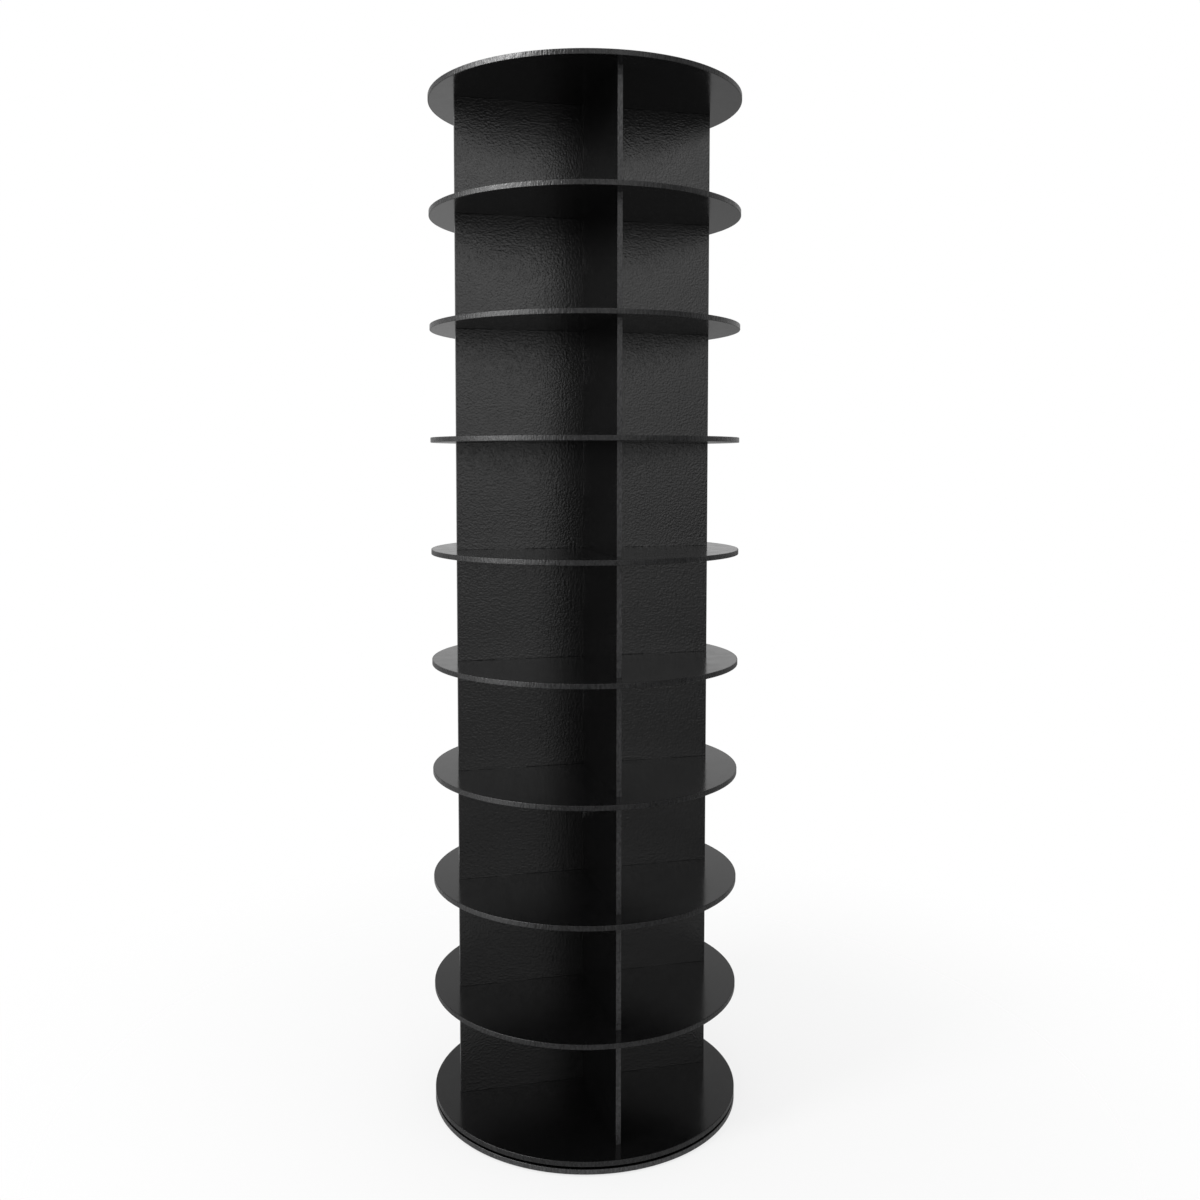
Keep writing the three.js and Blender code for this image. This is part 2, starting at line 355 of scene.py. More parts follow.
@dataclass(frozen=True)
class EdgeBand:
    """The plastic band on the boards' edges, a little duller and paler where it is rubbed."""

    name: str = "edge_band_black"
    dark: Colour = (0.008, 0.008, 0.0082)
    light: Colour = (0.024, 0.024, 0.0247)
    relief: float = 0.001
    streaks_per_metre: float = 320.0
    streak_stretch: Place = (1.0, 1.0, 0.35)
    patches_per_metre: float = 60.0
    roughness: Pair = (0.18, 0.34)
    resin_index: float = 1.44

    def build(self) -> Material:
        """Builds the finish.

        Returns:
            Its material.
        """
        material = bpy.data.materials.new(self.name)
        nodes = NodeTree(material)
        streaks = nodes.noise(self.streaks_per_metre, 3.0, self.streak_stretch)
        nodes.surface(
            Base_Color=nodes.blend(nodes.remap(streaks, 0.0, 1.0), self.dark, self.light),
            Roughness=nodes.remap(nodes.noise(self.patches_per_metre, 4.0), *self.roughness),
            IOR=self.resin_index,
            Normal=nodes.bump(streaks, self.relief),
        )
        return material


@dataclass(frozen=True)
class Metal:
    """A metal with a little mottling and fine scratches."""

    name: str
    colour: Colour
    shade: Colour
    roughness: Pair
    grain_per_metre: float = 1600.0
    grain_relief: float = 0.00004
    grain_strength: float = 0.4
    mottles_per_metre: float = 90.0
    patches_per_metre: float = 120.0

    def build(self) -> Material:
        """Builds the finish.

        Returns:
            Its material.
        """
        material = bpy.data.materials.new(self.name)
        nodes = NodeTree(material)
        grain = nodes.noise(self.grain_per_metre, 3.0)
        nodes.surface(
            Base_Color=nodes.blend(nodes.noise(self.mottles_per_metre, 4.0), self.shade, self.colour),
            Metallic=1.0,
            Roughness=nodes.remap(nodes.noise(self.patches_per_metre, 4.0), *self.roughness),
            Normal=nodes.bump(grain, self.grain_relief, self.grain_strength),
        )
        return material


@dataclass(frozen=True)
class Moulding:
    """A moulded plastic or rubber with a fine sparked grain."""

    name: str
    dark: Colour
    light: Colour
    roughness: Pair
    sheen: float = 0.0
    grain_per_metre: float = 1800.0
    grain_relief: float = 0.00008
    grain_strength: float = 0.5
    mottles_per_metre: float = 120.0
    patches_per_metre: float = 80.0

    def build(self) -> Material:
        """Builds the finish.

        Returns:
            Its material.
        """
        material = bpy.data.materials.new(self.name)
        nodes = NodeTree(material)
        grain = nodes.noise(self.grain_per_metre, 3.0)
        nodes.surface(
            Base_Color=nodes.blend(nodes.noise(self.mottles_per_metre, 4.0), self.dark, self.light),
            Roughness=nodes.remap(nodes.noise(self.patches_per_metre, 4.0), *self.roughness),
            Sheen_Weight=self.sheen,
            Normal=nodes.bump(grain, self.grain_relief, self.grain_strength),
        )
        return material


SHELF = BoardFace("melamine_shelf", 0.00007)
DIVIDER = BoardFace("melamine_divider", 0.0006)
BAND = EdgeBand()
TRIM = EdgeBand("edge_band_trim", (0.002, 0.002, 0.0021), (0.006, 0.006, 0.0062), 0.0003)
DIVIDER_BAND = EdgeBand(
    "edge_band_divider", (0.016, 0.016, 0.0165), (0.05, 0.05, 0.0515), resin_index=1.5
)
BASE_BAND = EdgeBand(
    "edge_band_base", (0.025, 0.025, 0.0255), (0.075, 0.075, 0.077), resin_index=1.55
)
ALUMINIUM = Metal("aluminium_satin", (0.62, 0.63, 0.65), (0.5, 0.51, 0.53), (0.28, 0.42))
STEEL = Metal("steel_zinc", (0.5, 0.5, 0.49), (0.36, 0.37, 0.38), (0.22, 0.38))
NYLON = Moulding("nylon_natural", (0.6, 0.57, 0.5), (0.74, 0.71, 0.63), (0.4, 0.55))
RUBBER = Moulding("rubber_black", (0.009, 0.009, 0.009), (0.02, 0.02, 0.02), (0.65, 0.85), 0.2)


@dataclass
class Finishes:
    """Every material of the object, each built once."""

    shelf: Material = field(default_factory=SHELF.build)
    divider: Material = field(default_factory=DIVIDER.build)
    band: Material = field(default_factory=BAND.build)
    trim: Material = field(default_factory=TRIM.build)
    divider_band: Material = field(default_factory=DIVIDER_BAND.build)
    base_band: Material = field(default_factory=BASE_BAND.build)
    aluminium: Material = field(default_factory=ALUMINIUM.build)
    steel: Material = field(default_factory=STEEL.build)
    nylon: Material = field(default_factory=NYLON.build)
    rubber: Material = field(default_factory=RUBBER.build)


# Modelling with operators


def object_mode() -> None:
    """Leaves edit mode if it is on."""
    if bpy.context.object is not None and bpy.context.object.mode != "OBJECT":
        bpy.ops.object.mode_set(mode="OBJECT")


def deselect_all() -> None:
    """Deselects every object, so that an operator acts on none but the next primitive."""
    object_mode()
    bpy.ops.object.select_all(action="DESELECT")


def select_only(piece: Piece) -> None:
    """Selects one object and makes it active.

    Args:
        piece: The object.
    """
    deselect_all()
    piece.select_set(True)
    bpy.context.view_layer.objects.active = piece


def start_edit(piece: Piece, parts: str) -> None:
    """Deselects all of a mesh, so that its faces or edges can be selected in code.

    Args:
        piece: The mesh object, which is left in object mode.
        parts: "FACE" or "EDGE".
    """
    select_only(piece)
    bpy.ops.object.mode_set(mode="EDIT")
    bpy.ops.mesh.select_mode(type=parts)
    bpy.ops.mesh.select_all(action="DESELECT")
    bpy.ops.object.mode_set(mode="OBJECT")


def edit_faces(piece: Piece, test: Callable[[Face], bool]) -> None:
    """Enters edit mode with the faces selected that pass a test.

    Args:
        piece: The mesh object.
        test: Called with each face.
    """
    start_edit(piece, "FACE")
    for face in piece.data.polygons:
        face.select = test(face)
    bpy.ops.object.mode_set(mode="EDIT")


def edit_edges(piece: Piece, test: Callable[[Vector, Vector], bool]) -> None:
    """Enters edit mode with the edges selected that pass a test.

    Args:
        piece: The mesh object.
        test: Called with the places of each edge's two ends.
    """
    start_edit(piece, "EDGE")
    points = [vertex.co for vertex in piece.data.vertices]
    for edge in piece.data.edges:
        edge.select = test(points[edge.vertices[0]], points[edge.vertices[1]])
    bpy.ops.object.mode_set(mode="EDIT")


def placed() -> Piece:
    """Returns the new primitive, its place, turn and size moved into its mesh.

    Returns:
        The object that was added last.
    """
    piece = bpy.context.object
    select_only(piece)
    bpy.ops.object.transform_apply(location=True, rotation=True, scale=True)
    return piece


def add_box(low: Vector, high: Vector) -> Piece:
    """Adds a box between two corners.

    Args:
        low: The lowest corner.
        high: The highest corner.

    Returns:
        The box.
    """
    deselect_all()
    bpy.ops.mesh.primitive_cube_add(size=1.0, location=(low + high) / 2, scale=high - low)
    return placed()


def add_drum(radius: float, bottom: float, top: float, sides: int, centre: Pair = (0.0, 0.0)) -> Piece:
    """Adds an upright cylinder between two heights.

    Args:
        radius: Its radius.
        bottom: The height of its lower face.
        top: The height of its upper face.
        sides: How many sides it has.
        centre: The place of its axis.

    Returns:
        The cylinder.
    """
    deselect_all()
    bpy.ops.mesh.primitive_cylinder_add(
        vertices=sides,
        radius=radius,
        depth=top - bottom,
        location=(*centre, (bottom + top) / 2),
        end_fill_type="NGON",
    )
    return placed()


def add_ring(inner: float, outer: float, bottom: float, top: float, sides: int) -> Piece:
    """Adds a flat ring about Z between two radii and two heights.

    Args:
        inner: The radius of its bore.
        outer: Its outer radius.
        bottom: The height of its lower face.
        top: The height of its upper face.
        sides: How many sides it has.

    Returns:
        The ring.
    """
    ring = add_drum(outer, bottom, top, sides)
    subtract(ring, [add_drum(inner, bottom - OVERRUN, top + OVERRUN, sides)])
    return ring


def subtract(piece: Piece, cutters: Iterable[Piece]) -> None:
    """Cuts cutters out of a piece and removes them.

    Args:
        piece: The piece that is cut.
        cutters: The objects that cut it.
    """
    for cutter in cutters:
        select_only(piece)
        modifier = piece.modifiers.new("cut", "BOOLEAN")
        modifier.operation, modifier.solver, modifier.object = "DIFFERENCE", "EXACT", cutter
        bpy.ops.object.modifier_apply(modifier=modifier.name)
        bpy.data.objects.remove(cutter, do_unlink=True)


def round_arrises(piece: Piece, width: float, strips: int, angle: float) -> None:
    """Rounds every edge sharper than an angle.

    Args:
        piece: The mesh object.
        width: The rounding's width.
        strips: How many strips it has.
        angle: The least angle between two faces, in degrees.
    """
    select_only(piece)
    modifier = piece.modifiers.new("arris", "BEVEL")
    modifier.width, modifier.segments = width, strips
    modifier.limit_method, modifier.angle_limit = "ANGLE", math.radians(angle)
    modifier.harden_normals = False
    bpy.ops.object.modifier_apply(modifier=modifier.name)


def smooth(piece: Piece, angle: float) -> None:
    """Shades a piece smooth where its faces meet at less than an angle, in degrees."""
    select_only(piece)
    bpy.ops.object.shade_smooth_by_angle(angle=math.radians(angle))


def smooth_flat(piece: Piece, angle: float) -> None:
    """Shades a piece smooth, and keeps its wide faces flat up to the rounded arrises.

    Args:
        piece: The mesh object.
        angle: The angle below which faces run into each other, in degrees.
    """
    smooth(piece, angle)
    modifier = piece.modifiers.new("flat", "WEIGHTED_NORMAL")
    modifier.mode, modifier.weight, modifier.keep_sharp = "FACE_AREA", WIDE_FACE_WEIGHT, True
    bpy.ops.object.modifier_apply(modifier=modifier.name)


def copy_mesh(piece: Piece, change: Matrix) -> Piece:
    """Copies a piece with its own mesh.

    Args:
        piece: The piece to copy.
        change: How the copy's mesh is moved or turned.

    Returns:
        The copy.
    """
    twin = piece.copy()
    twin.data = piece.data.copy()
    twin.data.transform(change)
    bpy.context.collection.objects.link(twin)
    return twin


# What a piece stands for


def numbered(start: str, count: int) -> list[str]:
    """Returns the names of CAD nodes that are numbered from one."""
    return [f"{start}_{number}" for number in range(1, count + 1)]


def middle_of(node: str) -> Vector:
    """Returns the middle of a CAD node's box."""
    low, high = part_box(node)
    return (Vector(low) + Vector(high)) / 2


def plan_middle(node: str) -> Pair:
    """Returns the place of the middle of a CAD node, in plan."""
    return tuple(middle_of(node).xy)


@dataclass(frozen=True)
class Role:
    """The CAD node that a piece stands for, how it is made, its body and its material slot."""

    node: str
    making: Making
    body: Body
    slot: Slot

    def give(self, piece: Piece) -> None:
        """Names a piece, tells the frame what it rides on, and hides the CAD node that it replaces.

        Args:
            piece: The piece.
        """
        piece.name = piece.data.name = f"{self.node}_{self.making.value}"
        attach(piece, self.body.value)
        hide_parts(self.node)

    def dress(
        self, piece: Piece, materials: Sequence[Material], choose: Callable[[Face], int] | None = None
    ) -> Piece:
        """Gives a piece its materials and its role.

        Args:
            piece: The piece.
            materials: Its materials in order.
            choose: Called with each face, returns the face's material index.

        Returns:
            The piece.
        """
        piece.data.materials.clear()
        for material in materials:
            piece.data.materials.append(material)
        for face in piece.data.polygons:
            face.material_index = choose(face) if choose else 0
        self.give(piece)
        return piece

    def repeat(self, first: Piece, others: Iterable[str]) -> list[Piece]:
        """Copies a finished piece to the places of the CAD nodes that are like its own.

        Args:
            first: The finished piece of this role.
            others: The CAD nodes that the copies stand for.

        Returns:
            The piece and its copies.
        """
        pieces = [first]
        for other in others:
            twin = copy_mesh(first, Matrix.Translation(middle_of(other) - middle_of(self.node)))
            replace(self, node=other).give(twin)
            pieces.append(twin)
        return pieces


# The object's sub-assemblies


@dataclass
class Sizes:
    """The sizes that the boards share, in metres and degrees."""

    clearance: float = 0.3 * MM
    tab_length: float = 60 * MM
    tab_radius: float = 150 * MM
    tab_height: float = 4.5 * MM
    board: float = 9.5 * MM
    arris: float = 0.7 * MM
    band: float = 0.9 * MM
    seam: float = 0.25 * MM
    seam_depth: float = 0.1 * MM
    rim_sides: int = 192
    smooth_angle: float = 40.0

    def slot_cutters(self, low: float, high: float) -> list[Piece]:
        """Returns a disc's four slot cutters between two heights.

        Args:
            low: The cutters' lowest height.
            high: Their highest height.

        Returns:
            One box for each arm.
        """
        along = self.tab_length / 2 + self.clearance
        across = self.board / 2 + self.clearance
        cutters = []
        for turn in (arm * math.tau / ARMS for arm in range(ARMS)):
            x, y = self.tab_radius * math.cos(turn), self.tab_radius * math.sin(turn)
            half = Vector((along, across)) if abs(x) > abs(y) else Vector((across, along))
            corners = (x - half.x, y - half.y, low), (x + half.x, y + half.y, high)
            cutters.append(add_box(*map(Vector, corners)))
        return cutters


class Tabs(Enum):
    """How deep a disc's slots go."""

    THROUGH = "through"
    ABOVE = "above"
    BELOW = "below"
    NONE = "none"


@dataclass
class DiscBoard:
    """A round board: a black core with slots for the dividers' tabs, and a band round its rim."""

    node: str
    tabs: Tabs
    finishes: Finishes
    body: Body = Body.TOWER
    holes: Callable[[], list[Piece]] | None = None
    sizes: Sizes = field(default_factory=Sizes)
    arris_strips: int = 3
    # The least area of a wide face, in square metres
    wide_area: float = 0.01
    # The middle of a facet lies at least this share of the radius out
    facet_reach: float = 0.9995

    def outline(self) -> Piece:
        """Shapes the disc, without its slots and holes.

        Returns:
            The disc with a rounded rim and the band's seam on both faces.
        """
        low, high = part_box(self.node)
        sizes = self.sizes
        disc = add_drum((high[0] - low[0]) / 2, low[2], high[2], sizes.rim_sides)
        edit_edges(disc, lambda a, b: abs(a.z - b.z) < LEVEL)
        bpy.ops.mesh.bevel(
            offset=sizes.arris, segments=self.arris_strips, affect="EDGES", clamp_overlap=True
        )
        edit_faces(disc, lambda face: abs(face.normal.z) > SQUARE_ON and face.area > self.wide_area)
        steps = (sizes.band, 0.0), (sizes.seam, -sizes.seam_depth), (sizes.seam, sizes.seam_depth)
        for thickness, depth in steps:
            bpy.ops.mesh.inset(thickness=thickness, depth=depth, use_individual=True)
        object_mode()
        return disc

    def materials(self) -> list[Material]:
        """Returns the finishes of the faces, the rim, paler on the base, and its trimmed arrises."""
        rim = self.finishes.base_band if self.body is Body.BASE else self.finishes.band
        return [self.finishes.shelf, rim, self.finishes.trim]

    def chooser(self) -> Callable[[Face], int]:
        """Chooses the faces' finishes.

        Returns:
            A function that returns a face's place in the list of finishes.
        """
        inside = (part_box(self.node)[1][0] - self.sizes.arris - self.sizes.band) * self.facet_reach

        def choose(face: Face) -> int:
            """Tells a face's finish from where it lies.

            Args:
                face: A face of the disc.

            Returns:
                0 for a wide face, 1 for the rim and 2 for its trimmed arrises.
            """
            if face.center.xy.length < inside:
                return 0
            return 1 if abs(face.normal.z) < EDGE_ON else 2

        return choose

    def cutters(self) -> list[Piece]:
        """Makes what is cut out of the disc for the dividers.

        Returns:
            The cutters, none where the disc has no slots.
        """
        low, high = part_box(self.node)
        depth = self.sizes.tab_height + self.sizes.clearance
        heights = {
            Tabs.THROUGH: (low[2] - OVERRUN, high[2] + OVERRUN),
            Tabs.ABOVE: (high[2] - depth, high[2] + OVERRUN),
            Tabs.BELOW: (low[2] - OVERRUN, low[2] + depth),
        }
        return self.sizes.slot_cutters(*heights[self.tabs]) if self.tabs in heights else []

    def build(self) -> Piece:
        """Builds the disc.

        Returns:
            The finished disc.
        """
        disc = self.outline()
        subtract(disc, self.cutters())
        if self.holes:
            subtract(disc, self.holes())
        smooth_flat(disc, self.sizes.smooth_angle)
        return self.role().dress(disc, self.materials(), self.chooser())

    def role(self) -> Role:
        """Returns what the disc stands for."""
        return Role(self.node, Making.BOARD, self.body, Slot.BOARD)


@dataclass
class DividerPair:
    """The two boards of a tier, halved where they cross, with tabs on their long edges."""

    finishes: Finishes
    sizes: Sizes = field(default_factory=Sizes)
    arris_share: float = 0.7
    arris_strips: int = 2
    end_margin: float = 0.01 * MM

    def board(self, letter: str, role: Role) -> Piece:
        """Returns one board of a tier.

        Args:
            letter: "a" for the board along X, halved from above, or "b" for the one along Y.
            role: What it stands for.

        Returns:
            The finished board.
        """
        sizes = self.sizes
        low, high = (Vector(corner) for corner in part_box(role.node))
        axis = 0 if letter == "a" else 1
        bottom, top = low.z + sizes.tab_height, high.z - sizes.tab_height
        board = add_box(Vector((low.x, low.y, bottom)), Vector((high.x, high.y, top)))
        self.add_tabs(board, axis)
        half, gap = sizes.board / 2 + sizes.clearance, sizes.clearance / 2
        middle = (bottom + top) / 2
        if letter == "a":
            corners = (-half, low.y - OVERRUN, middle - gap), (half, high.y + OVERRUN, top + OVERRUN)
        else:
            corners = (low.x - OVERRUN, -half, bottom - OVERRUN), (high.x + OVERRUN, half, middle + gap)
        subtract(board, [add_box(*map(Vector, corners))])
        arris = sizes.arris * self.arris_share
        round_arrises(board, arris, self.arris_strips, sizes.smooth_angle)
        smooth_flat(board, sizes.smooth_angle)
        end = high[axis] - arris - self.end_margin
        finishes = [self.finishes.divider, self.finishes.divider_band]
        return role.dress(board, finishes, lambda face: int(abs(face.center[axis]) > end))

    def add_tabs(self, board: Piece, axis: int) -> None:
        """Parts the long edges at the tabs' ends and pulls the tabs out of them.

        Args:
            board: The plain board.
            axis: The axis along which the board lies.
        """
        middle, half = self.sizes.tab_radius, self.sizes.tab_length / 2
        normal = Vector((1, 0, 0)) if axis == 0 else Vector((0, 1, 0))
        for place in (side * (middle + end * half) for side in (-1, 1) for end in (-1, 1)):
            edit_faces(board, lambda face: True)
            bpy.ops.mesh.bisect(plane_co=normal * place, plane_no=normal)
        for side in (-1, 1):
            edit_faces(
                board,
                lambda face: face.normal.z * side > SQUARE_ON
                and abs(abs(face.center[axis]) - middle) < half,
            )
            bpy.ops.mesh.extrude_region_shrink_fatten(
                TRANSFORM_OT_shrink_fatten={"value": self.sizes.tab_height}
            )
        object_mode()


@dataclass
class TurningTower:
    """The discs and dividers that turn together."""

    finishes: Finishes

    def build(self) -> list[Piece]:
        """Builds the boards.

        Returns:
            Every board of the turning tower.
        """
        holes = Bearing(self.finishes).upper_holes
        pieces = [DiscBoard("bottom_disc", Tabs.ABOVE, self.finishes, holes=holes).build()]
        shelves = numbered("shelf_disc", TIERS - 1)
        shelf = DiscBoard(shelves[0], Tabs.THROUGH, self.finishes)
        pieces += shelf.role().repeat(shelf.build(), shelves[1:])
        pieces.append(DiscBoard("top_disc", Tabs.BELOW, self.finishes).build())
        for letter in "ab":
            nodes = [f"{tier}_divider_{letter}" for tier in numbered("tier", TIERS)]
            role = Role(nodes[0], Making.BOARD, Body.TOWER, Slot.BOARD)
            pieces += role.repeat(DividerPair(self.finishes).board(letter, role), nodes[1:])
        return pieces


@dataclass(frozen=True)
class Race:
    """One ring of the bearing, with its radii, its screws and its body.

    The screws are given by the start of their node names. The side is 1 where their heads point up,
    or -1.
    """

    node: str
    inner: float
    outer: float
    screws: str
    side: int
    body: Body


@dataclass
class Bearing:
    """The two grooved rings, the caged balls between them and the screws that hold the rings."""

    finishes: Finishes
    clearance: float = 0.3 * MM
    ball_circle: float = 125 * MM
    groove: float = 1.55 * MM
    groove_sides: int = 20
    ease: float = 0.4 * MM
    ease_strips: int = 2
    ease_angle: float = 60.0
    smooth_angle: float = 35.0
    ring_gap: float = 0.7 * MM
    ring_width: float = 24 * MM
    sides: int = 144
    strip_thickness: float = 0.8 * MM
    strip_height: float = 2 * MM
    balls: int = 16
    ball_sides: int = 24
    ball_rows: int = 16
    screw_radius: float = 1.75 * MM
    core_share: float = 0.8
    point_share: float = 0.15
    head_radius: float = 3.5 * MM
    head_height: float = 2.2 * MM
    cross_length: float = 3.8 * MM
    cross_width: float = 0.9 * MM
    cross_depth: float = 1.3 * MM
    thread_rise: float = 0.55 * MM
    thread_turns: int = 7
    tip: float = 1.6 * MM
    screw_sides: int = 32
    screw_smooth_angle: float = 25.0
    access_radius: float = 7 * MM

    def recess(self, ring: str, bottom: float, top: float) -> Piece:
        """Returns the cutter of the recess that a ring lies in.

        Args:
            ring: The ring's CAD node.
            bottom: The cutter's lowest height.
            top: The cutter's highest height.

        Returns:
            The cutter.
        """
        return add_drum(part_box(ring)[1][0] + self.clearance, bottom, top, self.sides)

    def hole(self, screw: str, bottom: float, top: float) -> Piece:
        """Returns the cutter of a screw's hole.

        Args:
            screw: The screw's CAD node.
            bottom: The hole's lowest height.
            top: The hole's highest height.

        Returns:
            The cutter.
        """
        radius = self.screw_radius + self.clearance
        return add_drum(radius, bottom, top, self.screw_sides, plan_middle(screw))

    def upper_holes(self) -> list[Piece]:
        """Makes what the bearing needs cut out of the lowest turning disc.

        Returns:
            The cutters of its recess and of its screws' holes.
        """
        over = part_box("bearing_inner_ring")[1][2]
        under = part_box("bottom_disc")[0][2]
        cutters = [self.recess("bearing_inner_ring", under - OVERRUN, over)]
        for screw in numbered("disc_ring_screw", ARMS):
            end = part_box(screw)[1][2] + self.clearance
            cutters.append(self.hole(screw, over - OVERRUN, end))
        return cutters

    def lower_holes(self) -> list[Piece]:
        """Makes what the bearing needs cut out of the base disc.

        Returns:
            The cutters of its recess, of its screws' holes and of the access hole.
        """
        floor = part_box("bearing_outer_ring")[0][2]
        under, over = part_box("base_disc")[0][2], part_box("base_disc")[1][2]
        cutters = [self.recess("bearing_outer_ring", floor, over + OVERRUN)]
        for screw in numbered("base_ring_screw", ARMS):
            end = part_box(screw)[0][2] - self.clearance
            cutters.append(self.hole(screw, end, floor + OVERRUN))
        through = (under - OVERRUN, over + OVERRUN)
        access = plan_middle("disc_ring_screw_1")
        cutters.append(add_drum(self.access_radius, *through, self.screw_sides, access))
        return cutters

    def ring(self, race: Race) -> Piece:
        """Returns a ring with its ball groove and its countersunk holes.

        Args:
            race: Which ring it is.

        Returns:
            The shaped ring.
        """
        low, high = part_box(race.node)
        ring = add_ring(race.inner, race.outer, low[2], high[2], self.sides)
        round_arrises(ring, self.ease, self.ease_strips, self.ease_angle)
        deselect_all()
        cage_low, cage_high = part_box("bearing_ball_cage")
        bpy.ops.mesh.primitive_torus_add(
            location=(0, 0, (cage_low[2] + cage_high[2]) / 2),
            major_segments=self.sides,
            minor_segments=self.groove_sides,
            major_radius=self.ball_circle,
            minor_radius=self.groove,
        )
        subtract(ring, [placed()])
        face = high[2] if race.side > 0 else low[2]
        shank, head = self.screw_radius + self.clearance, self.head_radius + self.clearance
        widest = head + (head - shank) / self.head_height * OVERRUN
        for screw in numbered(race.screws, ARMS):
            hole = self.hole(screw, low[2] - OVERRUN, high[2] + OVERRUN)
            start = (*plan_middle(screw), face + race.side * OVERRUN)
            seat = self.cone(start, race.side, shank, widest, self.head_height + OVERRUN)
            subtract(ring, [hole, seat])
        smooth_flat(ring, self.smooth_angle)
        return ring

    def cone(self, start: Place, side: int, narrow: float, wide: float, height: float) -> Piece:
        """Returns a countersunk head's cone.

        Args:
            start: The middle of its wide end.
            side: 1 where the wide end is its top, or -1.
            narrow: The radius of its narrow end.
            wide: The radius of its wide end.
            height: Its height.

        Returns:
            The cone.
        """
        deselect_all()
        below, above = (narrow, wide) if side > 0 else (wide, narrow)
        bpy.ops.mesh.primitive_cone_add(
            vertices=self.screw_sides,
            radius1=below,
            radius2=above,
            depth=height,
            location=(*start[:2], start[2] - side * height / 2),
        )
        return placed()

    def screw(self, node: str, side: int) -> Piece:
        """Returns a countersunk screw with a cross in its head and a ridged shank.

        Args:
            node: The screw's CAD node.
            side: 1 where its head points up, or -1.

        Returns:
            The shaped screw.
        """
        low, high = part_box(node)
        face, end = (high[2], low[2]) if side > 0 else (low[2], high[2])
        start = (*plan_middle(node), face)
        core = self.screw_radius * self.core_share
        screw = self.cone(start, side, core, self.head_radius, self.head_height)
        edit_faces(screw, lambda part: part.normal.z * side < -SQUARE_ON)
        length = abs(face - end) - self.head_height - self.tip
        self.pull(length - self.thread_turns * self.thread_rise, side)
        rise = self.thread_rise / 2
        ridges = [(rise, 1 / self.core_share), (rise, self.core_share)] * self.thread_turns
        for height, share in (*ridges, (self.tip, self.point_share)):
            self.pull(height, side)
            bpy.ops.transform.resize(value=(share, share, 1.0), center_override=start)
        object_mode()
        length_x, width, depth = self.cross_length, self.cross_width, 2 * self.cross_depth
        for size in ((length_x, width, depth), (width, length_x, depth)):
            centre, half = Vector(start), Vector(size) / 2
            subtract(screw, [add_box(centre - half, centre + half)])
        smooth_flat(screw, self.screw_smooth_angle)
        return screw

    def pull(self, length: float, side: int) -> None:
        """Extrudes the selected end face away from the head.

        Args:
            length: How far it is pulled.
            side: 1 where the head points up, or -1.
        """
        bpy.ops.mesh.extrude_region_move(TRANSFORM_OT_translate={"value": (0, 0, -side * length)})

    def cage(self) -> Piece:
        """Builds the cage.

        Returns:
            The strip with the balls in it.
        """
        low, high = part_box("bearing_ball_cage")
        middle = (low[2] + high[2]) / 2
        half_wall, half_height = self.strip_thickness / 2, self.strip_height / 2
        walls = (self.ball_circle - half_wall, self.ball_circle + half_wall)
        cage = add_ring(*walls, middle - half_height, middle + half_height, self.sides)
        deselect_all()
        bpy.ops.mesh.primitive_uv_sphere_add(
            segments=self.ball_sides,
            ring_count=self.ball_rows,
            radius=(high[2] - low[2]) / 2,
            location=(self.ball_circle, 0, middle),
        )
        ball = placed()
        turns = [Matrix.Rotation(index * math.tau / self.balls, 4, "Z") for index in range(1, self.balls)]
        balls = [ball] + [copy_mesh(ball, turn) for turn in turns]
        strip_faces = len(cage.data.polygons)
        select_only(cage)
        for part in balls:
            part.select_set(True)
        bpy.ops.object.join()
        smooth(cage, self.smooth_angle)
        role = Role("bearing_ball_cage", Making.TURNED, Body.CAGE, Slot.CAGE)
        finishes = [self.finishes.nylon, self.finishes.steel]
        return role.dress(cage, finishes, lambda face: int(face.index >= strip_faces))

    def build(self) -> list[Piece]:
        """Builds the bearing.

        Returns:
            Its pieces.
        """
        inside, outside = self.ball_circle - self.ring_gap, self.ball_circle + self.ring_gap
        inmost, outmost = inside - self.ring_width, outside + self.ring_width
        pieces = [self.cage()]
        for race in (
            Race("bearing_outer_ring", outside, outmost, "base_ring_screw", 1, Body.BASE),
            Race("bearing_inner_ring", inmost, inside, "disc_ring_screw", -1, Body.TOWER),
        ):
            role = Role(race.node, Making.TURNED, race.body, Slot.ALUMINIUM)
            pieces.append(role.dress(self.ring(race), [self.finishes.aluminium]))
            nodes = numbered(race.screws, ARMS)
            role = Role(nodes[0], Making.TURNED, race.body, Slot.STEEL)
            screw = role.dress(self.screw(nodes[0], race.side), [self.finishes.steel])
            pieces += role.repeat(screw, nodes[1:])
        return pieces


